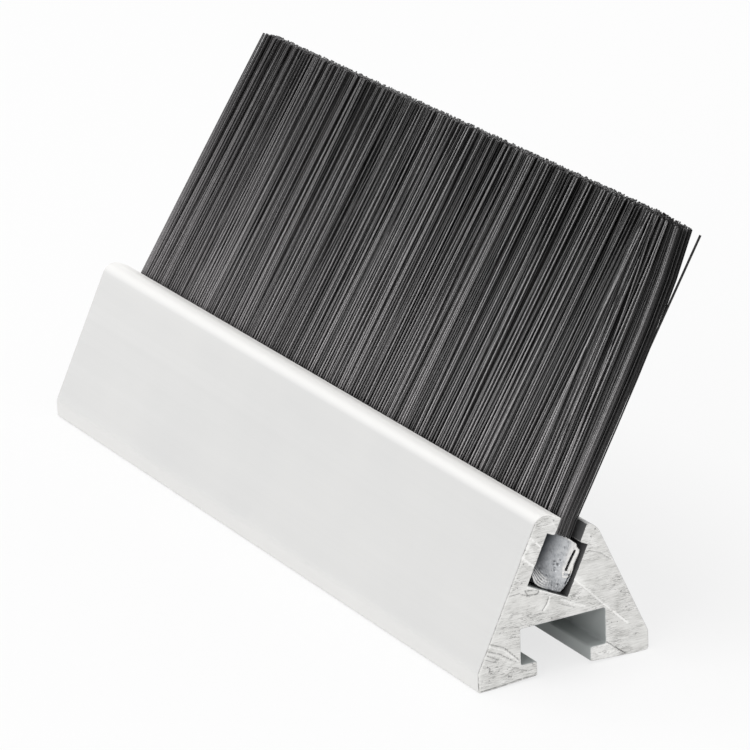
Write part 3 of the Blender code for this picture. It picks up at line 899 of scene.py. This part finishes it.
    # lean along X: easing from the far end to the middle, then nearly upright in the near tuft
    leanBulk = mapRange(tree, mouthX, value("Start X"), calc("SUBTRACT", value("Near Tuft X"), 0.01),
                        value("Lean Far"), value("Lean Middle"))
    near = mapRange(tree, mouthX, calc("SUBTRACT", value("Near Tuft X"), 0.0022),
                    calc("ADD", value("Near Tuft X"), 0.001), 0.0, 1.0, smooth=True)
    lean = calc("ADD", calc("MULTIPLY", leanBulk, calc("SUBTRACT", 1.0, near)),
                calc("MULTIPLY", value("Lean Near"), near))
    astray = calc("MULTIPLY", value("Crossing"),
                  calc("ADD", chance(-1.0, 1.0, 4, key), chance(-1.0, 1.0, 5, key)))
    rare = calc("GREATER_THAN", chance(0.0, 1.0, 6, key), 0.89)
    astray = calc("MULTIPLY", astray, calc("ADD", 1.0, calc("MULTIPLY", rare, 2.4)))
    # the first and last filaments have less room to stray
    room = mapRange(tree, mouthX, calc("SUBTRACT", value("End X"), 0.002), value("End X"), 1.0, 0.0)
    startRoom = mapRange(tree, mouthX, value("Start X"), calc("ADD", value("Start X"), 0.002), 0.15, 1.0)
    room = calc("MULTIPLY", room, startRoom)
    astray = calc("MULTIPLY", astray, room)
    slope = calc("TANGENT", calc("RADIANS", calc("ADD", lean, astray)))
    shiftX = calc("MULTIPLY", slope, calc("ADD", above, below))

    # neighbours gather into clumps towards their tips
    stagger = calc("MULTIPLY", calc("FLOOR", calc("DIVIDE", row, 3)), 0.37)
    clump = calc("FLOOR", calc("ADD", calc("DIVIDE", mouthX, value("Clump Width")), stagger))
    clumpKey = calc("ADD", clump, 5000)
    middle = calc("ADD", calc("SUBTRACT", clump, stagger), chance(0.3, 0.7, 7, clumpKey))
    middle = calc("MULTIPLY", middle, value("Clump Width"))
    strength = calc("MULTIPLY", value("Clump Pull"), chance(0.1, 1.0, 8, clumpKey))
    rise = calc("POWER", risen, 0.8)
    gather = calc("MULTIPLY", calc("MULTIPLY", calc("SUBTRACT", middle, mouthX), strength), rise)
    gather = calc("MULTIPLY", gather, room)

    # a slight bow, and the near tips drawn in
    arch = calc("SINE", calc("MULTIPLY", risen, math.pi))
    bowX = calc("MULTIPLY", calc("MULTIPLY", value("Bow"), chance(-1.0, 1.0, 9, key)),
                calc("MULTIPLY", arch, room))
    bowY = calc("MULTIPLY", calc("MULTIPLY", value("Bow"), chance(-0.5, 0.5, 10, key)), arch)
    edge = mapRange(tree, mouthX, calc("SUBTRACT", value("End X"), 0.006), value("End X"), 0.0, 1.0,
                    smooth=True)
    curl = calc("MULTIPLY", calc("MULTIPLY", value("Near Curl"), edge), calc("POWER", risen, 4.5))

    x = calc("ADD", calc("ADD", mouthX, shiftX), calc("ADD", gather, bowX))
    x = calc("SUBTRACT", x, curl)
    x = calc("MINIMUM", x, calc("SUBTRACT", cadBox[1][0], value("Radius")))
    thickness = mapRange(tree, risen, 0.0, 1.0, value("Pack At Mouth"), value("Pack At Tips"))
    offset = calc("ADD", calc("MULTIPLY", depth, thickness), bowY)
    offset = calc("ADD", offset, calc("MULTIPLY", value("Mouth Shift"), calc("SUBTRACT", 1.0, risen)))

    mouth = inFrame(0, mouthPoint)
    neck = inFrame(0, neckPoint)
    root = direction3(packUp).lerp((mouth - neck).normalized(), 0.3).normalized()
    where = vectorMaths(tree, "ADD", scaled(tree, (1, 0, 0), x), mouth)
    # no tip goes past the trimmed height, nor further back
    lift = calc("MULTIPLY", calc("SUBTRACT", offset, value("Radius")), -packAcross.y)
    headroom = calc("ADD", calc("SUBTRACT", value("Highest"), mouth.z), lift)
    above = calc("MINIMUM", above, calc("DIVIDE", headroom, packUp.y))
    reach = calc("MULTIPLY", calc("ADD", offset, value("Radius")), packAcross.x)
    backroom = calc("SUBTRACT", calc("SUBTRACT", value("Furthest"), mouth.y), reach)
    above = calc("MINIMUM", above, calc("DIVIDE", backroom, packUp.x))
    where = vectorMaths(tree, "ADD", where, scaled(tree, direction3(packUp), above))
    where = vectorMaths(tree, "ADD", where, scaled(tree, root, below))
    where = vectorMaths(tree, "ADD", where, scaled(tree, direction3(packAcross), offset))

    # painted light level: 1 in the outermost row on either face, falling quickly inwards
    rim = calc("MINIMUM", row, calc("SUBTRACT", calc("SUBTRACT", value("All Rows"), 1.0), row))
    lit = calc("POWER", value("Inner Shade"), rim)

    # tone, height and shade stay on the mesh, for the material
    kept = strands.outputs[0]
    for name, measure in (("tone", chance(0.0, 1.0, 11, key)), ("risen", risen), ("lit", lit)):
        kept = addNode(tree, "GeometryNodeStoreNamedAttribute", {"data_type": "FLOAT", "domain": "POINT"},
                       Geometry=kept, Name=name, Value=measure).outputs[0]
    moved = addNode(tree, "GeometryNodeSetPosition", Geometry=kept, Position=where)
    ring = addNode(tree, "GeometryNodeCurvePrimitiveCircle", Resolution=value("Sides"),
                   Radius=value("Radius"))
    solid = addNode(tree, "GeometryNodeCurveToMesh", Curve=moved.outputs[0], Profile_Curve=ring.outputs[0],
                    Fill_Caps=True)
    # the cut tips face along the filaments
    normal = addNode(tree, "GeometryNodeInputNormal").outputs[0]
    cut = calc("GREATER_THAN", vectorMaths(tree, "DOT_PRODUCT", normal, direction3(packUp)), 0.8)
    marked = addNode(tree, "GeometryNodeStoreNamedAttribute", {"data_type": "FLOAT", "domain": "FACE"},
                     Geometry=solid.outputs[0], Name="cut", Value=cut)
    smooth = addNode(tree, "GeometryNodeSetShadeSmooth", Geometry=marked.outputs[0], Shade_Smooth=True)
    whole = addNode(tree, "GeometryNodeRealizeInstances", Geometry=smooth.outputs[0])
    finished = addNode(tree, "GeometryNodeSetMaterial", Geometry=whole.outputs[0], Material=value("Filament"))
    tree.links.new(finished.outputs[0], result.inputs[0])
    return tree, names


def runTree(name, tree, names, settings):
    # sets the modifier's inputs, then keeps only the plain mesh that it makes
    seed = linkNewObject(name + "_seed", bpy.data.meshes.new(name + "_seed"))
    modifier = seed.modifiers.new("layer", "NODES")
    modifier.node_group = tree
    for key, value in settings.items():
        modifier[names[key]] = value
    view = bpy.context.evaluated_depsgraph_get()
    mesh = bpy.data.meshes.new_from_object(
        seed.evaluated_get(view), preserve_all_data_layers=True, depsgraph=view)
    bpy.data.objects.remove(seed)
    mesh.name = name
    return linkNewObject(name, mesh)


# the one loose filament, which stands off the pack's near edge
strayFilament = {
    "startX": 48.6,           # mm, at the mouth
    "across": 1.12,           # mm, behind the middle of the mouth
    "lean": 1.8,              # degrees along X
    "length": 32.35,
    "radius": 0.13,
    "rings": 12,
    "sides": 8,
    "tone": 0.3,
    "risen": 0.5,
    "lit": 0.15,
}


def makeStray(name, filament):
    s = strayFilament
    mesh = bpy.data.meshes.new(name)
    shape = bmesh.new()
    rings = []
    turns = [2 * math.pi * side / s["sides"] for side in range(s["sides"])]
    for step in range(s["rings"] + 1):
        height = s["length"] * (step / s["rings"])
        x = s["startX"] + math.tan(math.radians(s["lean"])) * height
        centre = inFrame(x * mm, mouthPoint + packUp * height + packAcross * s["across"])
        rings.append([shape.verts.new(centre + (Vector((1, 0, 0)) * math.cos(turn)
                                                + direction3(packAcross) * math.sin(turn)) * s["radius"] * mm)
                      for turn in turns])
    for a, b in zip(rings, rings[1:]):
        for side in range(s["sides"]):
            after = (side + 1) % s["sides"]
            shape.faces.new((a[side], a[after], b[after], b[side]))
    shape.faces.new(rings[0][::-1])
    shape.faces.new(rings[-1])
    bmesh.ops.recalc_face_normals(shape, faces=shape.faces)
    for key in ("tone", "risen", "lit"):
        layer = shape.verts.layers.float.new(key)
        for vert in shape.verts:
            vert[layer] = s[key]
    for face in shape.faces:
        face.smooth = len(face.verts) == 4
    shape.to_mesh(mesh)
    shape.free()
    return linkNewObject(name, mesh, filament)


# materials

def finish(tree, shader, **looks):
    for key, value in looks.items():
        give(tree, shader.inputs[key.replace("_", " ")], value)


def newMaterial(name, **looks):
    material = bpy.data.materials.new(name)
    material.use_nodes = True
    tree = material.node_tree
    shader = tree.nodes["Principled BSDF"]
    finish(tree, shader, **looks)
    return material, tree, shader


def attribute(tree, name):
    # a value that the mesh carries
    return firstSocket(addNode(tree, "ShaderNodeAttribute", {"attribute_name": name}).outputs, "Fac")


def noiseAt(tree, vector, scale, detail=3.0, roughness=0.5):
    made = addNode(tree, "ShaderNodeTexNoise", Vector=vector, Scale=scale, Detail=detail, Roughness=roughness)
    return firstSocket(made.outputs, "Fac")


def stretched(tree, scale, turn=(0, 0, 0)):
    place = addNode(tree, "ShaderNodeTexCoord").outputs["Object"]
    return addNode(tree, "ShaderNodeMapping", Vector=place, Scale=scale, Rotation=turn).outputs[0]


def ramp(tree, factor, stops):
    made = addNode(tree, "ShaderNodeValToRGB", Fac=factor)
    band = made.color_ramp
    while len(band.elements) < len(stops):
        band.elements.new(0.5)
    for element, (place, colour) in zip(band.elements, stops):
        element.position = place
        element.color = (*colour, 1)
    return made.outputs["Color"]


def mixed(tree, factor, first, second, blend="MIX"):
    made = addNode(tree, "ShaderNodeMix", {"data_type": "RGBA", "blend_type": blend})
    for name, value in (("Factor", factor), ("A", first), ("B", second)):
        give(tree, firstSocket(made.inputs, name), (*value, 1) if isinstance(value, tuple) else value)
    return firstSocket(made.outputs, "Result")


def bump(tree, height, strength, distance):
    return addNode(tree, "ShaderNodeBump", Height=height, Strength=strength, Distance=distance).outputs[0]


def satinAluminium():
    # anodised extrusion: fine die lines along X, a soft mottle, and a little variation in its sheen, with
    # painted shade inside the pocket, the mouth and the T-slot, and a painted highlight on the front lip and
    # low on the front foot
    material, tree, shader = newMaterial("satin anodised aluminium", Metallic=0.2)
    lines = noiseAt(tree, stretched(tree, (6, 2600, 2600)), 1.0, 4.0, 0.6)
    grain = noiseAt(tree, stretched(tree, (9000, 9000, 9000)), 1.0, 2.0)
    mottle = noiseAt(tree, stretched(tree, (60, 60, 60)), 1.0, 4.0)
    colour = ramp(tree, mottle, [(0.3, (0.57, 0.57, 0.566)), (0.7, (0.595, 0.593, 0.586))])
    # painted shade, darkest deep in the pocket
    inner = attribute(tree, "innerPaintedShade")
    paintedShade = ramp(tree, inner, [(0.0, (1, 1, 1)), (0.35, (0.76, 0.8, 0.8)), (1.0, (0.18, 0.18, 0.184))])
    colour = mixed(tree, 1.0, colour, paintedShade, "MULTIPLY")
    # painted highlight: a paler, less metallic colour on the front lip and low on the front foot
    paintedHighlight = attribute(tree, "paintedHighlight")
    height = maths(tree, "ADD", maths(tree, "MULTIPLY", lines, 0.6), maths(tree, "MULTIPLY", grain, 0.4))
    finish(tree, shader, Base_Color=mixed(tree, paintedHighlight, colour, (0.92, 0.911, 0.892)),
           Metallic=mapRange(tree, paintedHighlight, 0.0, 1.0, 0.2, 0.0),
           Roughness=mapRange(tree, lines, 0.3, 0.7, 0.58, 0.66), Normal=bump(tree, height, 0.12, 0.00003))
    return material


def sawnAluminium():
    # bare metal cut by a saw: streaks that run nearly level, bright and dull patches
    material, tree, shader = newMaterial("sawn aluminium", Metallic=0.8)
    turn = (math.radians(-holder["streakTilt"]), 0, 0)
    streaks = noiseAt(tree, stretched(tree, (100, 620, 8500), turn), 1.0, 5.0, 0.65)
    patches = noiseAt(tree, stretched(tree, (100, 420, 900), turn), 1.0, 4.0, 0.6)
    grit = noiseAt(tree, stretched(tree, (9000, 9000, 9000)), 1.0, 2.0)
    both = maths(tree, "ADD", maths(tree, "MULTIPLY", streaks, 0.55), maths(tree, "MULTIPLY", patches, 0.45))
    colour = ramp(tree, both, [
        (0.36, (0.48, 0.475, 0.46)), (0.45, (0.72, 0.715, 0.695)), (0.64, (0.9, 0.895, 0.88))])
    # thin dark lines where a field of streaks passes through its middle value, in some patches
    thread = noiseAt(tree, stretched(tree, (60, 430, 5600), turn), 1.0, 2.5, 0.6)
    gate = noiseAt(tree, stretched(tree, (60, 260, 420), turn), 1.0, 2.0)
    away = maths(tree, "ABSOLUTE", maths(tree, "SUBTRACT", thread, 0.5))
    near = mapRange(tree, away, 0.004, 0.03, 1.0, 0.0)
    dark = maths(tree, "MULTIPLY", near, mapRange(tree, gate, 0.42, 0.58, 0.0, 0.9))
    colour = mixed(tree, dark, colour, (0.24, 0.236, 0.228))
    # painted highlights and painted shade on the saw marks and the burr
    paintedLight = attribute(tree, "paintedLight")
    colour = mixed(tree, maths(tree, "MAXIMUM", paintedLight, 0.0), colour, (0.98, 0.975, 0.96))
    dark = maths(tree, "MAXIMUM", maths(tree, "MULTIPLY", paintedLight, -0.85), 0.0)
    colour = mixed(tree, dark, colour, (0.1, 0.1, 0.1))
    height = maths(tree, "ADD", maths(tree, "MULTIPLY", streaks, 0.8), maths(tree, "MULTIPLY", grit, 0.2))
    finish(tree, shader, Base_Color=colour, Roughness=mapRange(tree, patches, 0.3, 0.7, 0.42, 0.6),
           Normal=bump(tree, height, 0.8, 0.00006))
    return material


def zincSheet():
    material, tree, shader = newMaterial("galvanised sheet", Metallic=1.0)
    cloud = noiseAt(tree, stretched(tree, (1400, 1400, 1400)), 1.0, 4.0, 0.7)
    grit = noiseAt(tree, stretched(tree, (5200, 5200, 5200)), 1.0, 3.0)
    bareSteelAndHighlight = attribute(tree, "bareSteelAndHighlight")
    colour = ramp(tree, cloud, [(0.34, (0.46, 0.475, 0.495)), (0.66, (0.7, 0.71, 0.725))])
    # painted shade, nearly black
    paintedShade = attribute(tree, "paintedShade")
    colour = mixed(tree, paintedShade, colour, (0.034, 0.038, 0.045))
    # short scratches that run up the plate
    scratch = noiseAt(tree, stretched(tree, (900, 7600, 1900), (leanAngle, 0, 0)), 1.0, 3.0, 0.6)
    colour = mixed(tree, mapRange(tree, scratch, 0.42, 0.32, 0.0, 0.7), colour, (0.1, 0.105, 0.11))
    colour = mixed(tree, bareSteelAndHighlight, colour, (0.92, 0.9, 0.87))
    finish(tree, shader, Base_Color=colour, Roughness=mapRange(tree, grit, 0.3, 0.7, 0.34, 0.46),
           Normal=bump(tree, grit, 0.3, 0.00003))
    return material


def drawnWire():
    material, tree, shader = newMaterial("drawn steel wire", Metallic=1.0)
    lines = noiseAt(tree, stretched(tree, (40, 5200, 5200)), 1.0, 3.0)
    colour = ramp(tree, lines, [(0.3, (0.34, 0.34, 0.33)), (0.7, (0.5, 0.5, 0.49))])
    finish(tree, shader, Base_Color=colour, Roughness=mapRange(tree, lines, 0.3, 0.7, 0.28, 0.42),
           Normal=bump(tree, lines, 0.2, 0.00002))
    return material


def blackNylon():
    # each filament has its own tone, and drawing lines along it
    material, tree, shader = newMaterial("black nylon filament", IOR=1.5)
    tone = attribute(tree, "tone")
    risen = attribute(tree, "risen")
    grain = noiseAt(tree, stretched(tree, (5200, 900, 900)), 1.0, 3.0)
    place = addNode(tree, "ShaderNodeTexCoord").outputs["Object"]
    x = addNode(tree, "ShaderNodeSeparateXYZ", Vector=place).outputs["X"]
    # the tones differ less towards the far end
    differ = mapRange(tree, x, -0.05, 0.02, 0.3, 1.0)
    tone = maths(tree, "ADD", 0.5, maths(tree, "MULTIPLY", maths(tree, "SUBTRACT", tone, 0.5), differ))
    # towards the near tips a few bright filaments stand out among dull ones
    apart = maths(tree, "MULTIPLY", mapRange(tree, risen, 0.3, 0.85, 0.0, 1.0),
                  mapRange(tree, x, -0.01, 0.03, 0.0, 1.0))
    sharp = mapRange(tree, tone, 0.58, 0.78, 0.18, 1.0, smooth=True)
    tone = maths(tree, "ADD", tone, maths(tree, "MULTIPLY", apart, maths(tree, "SUBTRACT", sharp, tone)))
    both = maths(tree, "ADD", maths(tree, "MULTIPLY", tone, 0.8), maths(tree, "MULTIPLY", grain, 0.2))
    colour = ramp(tree, both, [
        (0.15, (0.019, 0.0183, 0.0187)), (0.5, (0.071, 0.067, 0.0685)), (0.9, (0.195, 0.186, 0.189))])
    lit = attribute(tree, "lit")
    # less light gets in between the filaments, and it comes in at the trimmed tips
    stray = mapRange(tree, x, -0.05, 0.03, 0.8, 0.5)
    level = maths(tree, "ADD", stray, maths(tree, "MULTIPLY", lit, maths(tree, "SUBTRACT", 1.0, stray)))
    # the rows are pressed together at the mouth, where they all catch the light
    level = maths(tree, "MAXIMUM", level, mapRange(tree, risen, 0.0, 0.45, 0.8, 0.0))
    level = maths(tree, "MULTIPLY", level, mapRange(tree, risen, 0.0, 1.0, 1.35, 0.7))
    level = maths(tree, "MAXIMUM", level, mapRange(tree, risen, 0.965, 1.0, 0.0, 0.8))
    # painted shade: the pack's cut end is a little darker
    level = maths(tree, "MULTIPLY", level, mapRange(tree, x, 0.0465, 0.0495, 1.0, 0.72))
    # higher up the sides are darker and shine more, and towards the far end they are paler and duller
    fade = maths(tree, "MULTIPLY", mapRange(tree, risen, 0.1, 0.9, 1.0, 0.5),
                 mapRange(tree, x, -0.05, 0.0, 1.75, 1.0))
    colour = scaled(tree, colour, maths(tree, "MULTIPLY", level, fade))
    shine = maths(tree, "MULTIPLY", mapRange(tree, risen, 0.1, 0.9, 0.62, 1.0),
                  mapRange(tree, x, -0.05, 0.0, 0.4, 1.0))
    # the dull filaments shine less than the bright ones, most of all towards the tips
    weak = mapRange(tree, risen, 0.1, 0.9, 0.75, 0.3)
    shine = maths(tree, "MULTIPLY", shine, mapRange(tree, tone, 0.3, 0.8, weak, 1.2))
    cut = attribute(tree, "cut")
    colour = mixed(tree, cut, colour, (0.11, 0.107, 0.11))
    finish(tree, shader, Base_Color=colour, Specular_IOR_Level=maths(tree, "MULTIPLY", level, shine),
           Roughness=mapRange(tree, tone, 0.0, 1.0, 0.38, 0.26), Normal=bump(tree, grain, 0.06, 0.00002))
    return material


# build the pieces

aluminium = satinAluminium()
sawn = sawnAluminium()
zinc = zincSheet()
nylon = blackNylon()

holderPiece = makeHolder(aluminium, sawn)
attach(holderPiece, "root")
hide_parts("holder_extrusion")
print("holder made,", len(holderPiece.data.polygons), "faces")

channelPiece = makeChannel(zinc)
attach(channelPiece, "root")
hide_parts("brush_channel")
print("channel made,", len(channelPiece.data.polygons), "faces")

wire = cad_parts["core_wire"]
wire.data.materials.clear()
wire.data.materials.append(drawnWire())

tree, treeInputs = makeBristleTree()
layers = {
    "bristles_front": {"First Row": 0, "Row Count": 5},
    "bristles_back": {"First Row": 5, "Row Count": 4},
    # an even curtain between them, so that no gap shows right through
    "bristles_middle": {"First Row": 3, "Row Count": 3, "Columns": 500, "Sides": 5, "Segments": 4, "Seed": 40,
                        "Radius": 0.000102, "Clump Pull": 0.1, "Crossing": 0.35, "Spread": 0.6},
    # the first and the last columns stand close
    "bristles_far": {"Row Count": 9, "Columns": 4, "End X": -0.0459, "End Below Mouth": 0.0034,
                     "Length": 0.03242, "Near Curl": 0.0, "Trim Rise": 0.0, "Trim Drop": 0.0, "Spread": 0.2,
                     "Inner Shade": 0.6, "Seed": 80},
    "bristles_end": {"All Rows": 7, "Row Count": 7, "Columns": 3, "Start X": 0.04875, "End X": 0.0496,
                     "Trim Rise": -0.0002, "Trim Drop": 0.00005, "Spread": 0.2, "Inner Shade": 0.5,
                     "Lean Near": 0.75, "Near Curl": 0.0016, "Seed": 60},
}
for name, changes in layers.items():
    layer = runTree(name, tree, treeInputs, {"Filament": nylon, **changes})
    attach(layer, "root")
    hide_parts("bristles")
    print(name, "made,", len(layer.data.polygons), "faces")

stray = makeStray("bristle_stray_tall", nylon)
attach(stray, "root")
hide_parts("bristles")
print("stray filament made")


# floor, light and world

studio = {
    "floorSize": 6.0,
    "floorDrop": 0.00002,     # keeps the floor clear of the feet
    "floorWhite": 0.82,
    "floorGlow": 0.74,        # how much of the white that the camera sees is unlit
    "worldStrength": 0.8,
    "seenWhite": 0.985,       # the white that the camera and the metal see
}

lamps = [
    # name, place, aims at, width, height, power in watts
    ("overhead softbox", (0.0, -0.5, 1.5), (0, 0, 0.01), 1.0, 0.8, 7.5),
    ("left low softbox", (-2.5, -0.95, 0.36), (0, 0, 0.03), 0.9, 0.6, 11.0),
    ("right front softbox", (1.1, -1.5, 0.75), (0, 0, 0.02), 0.6, 0.6, 5.0),
    ("left high softbox", (-1.9, -0.85, 1.35), (0, 0, 0.02), 0.7, 0.7, 3.5),
]


def seenDirectly(tree):
    # 1 for the camera, and for metal and glass that show the background
    path = addNode(tree, "ShaderNodeLightPath")
    return maths(tree, "MAXIMUM", path.outputs["Is Camera Ray"],
                 maths(tree, "MAXIMUM", path.outputs["Is Glossy Ray"], path.outputs["Is Transmission Ray"]))


def makeFloor():
    size = studio["floorSize"] / 2
    mesh = bpy.data.meshes.new("floor")
    z = -studio["floorDrop"]
    corners = [(-size, -size, z), (size, -size, z), (size, size, z), (-size, size, z)]
    mesh.from_pydata(corners, [], [(0, 1, 2, 3)])
    white = studio["floorWhite"]
    material, tree, shader = newMaterial("white studio floor", Roughness=0.6,
                                         Base_Color=(white, white, white, 1))
    glow = addNode(tree, "ShaderNodeEmission", Strength=1.0, Color=(1, 1, 1, 1))
    share = maths(tree, "MULTIPLY", seenDirectly(tree), studio["floorGlow"])
    mix = addNode(tree, "ShaderNodeMixShader", Fac=share)
    give(tree, mix.inputs[1], shader.outputs[0])
    give(tree, mix.inputs[2], glow.outputs[0])
    give(tree, tree.nodes["Material Output"].inputs["Surface"], mix.outputs[0])
    floor = linkNewObject("floor", mesh, material)


def makeLamps():
    for name, place, aim, width, height, power in lamps:
        data = bpy.data.lights.new(name, "AREA")
        data.shape = "RECTANGLE"
        data.size = width
        data.size_y = height
        data.energy = power
        lamp = bpy.data.objects.new(name, data)
        lamp.location = place
        lamp.rotation_euler = (Vector(place) - Vector(aim)).to_track_quat("Z", "Y").to_euler()
        bpy.context.scene.collection.objects.link(lamp)


def makeWorld():
    world = bpy.data.worlds.new("white studio")
    world.use_nodes = True
    bpy.context.scene.world = world
    tree = world.node_tree
    strength = mapRange(tree, seenDirectly(tree), 0.0, 1.0, studio["worldStrength"], studio["seenWhite"])
    finish(tree, tree.nodes["Background"], Color=(1, 1, 1, 1), Strength=strength)


makeFloor()
makeLamps()
makeWorld()
bpy.context.scene.view_settings.view_transform = "Standard"
print("studio made")
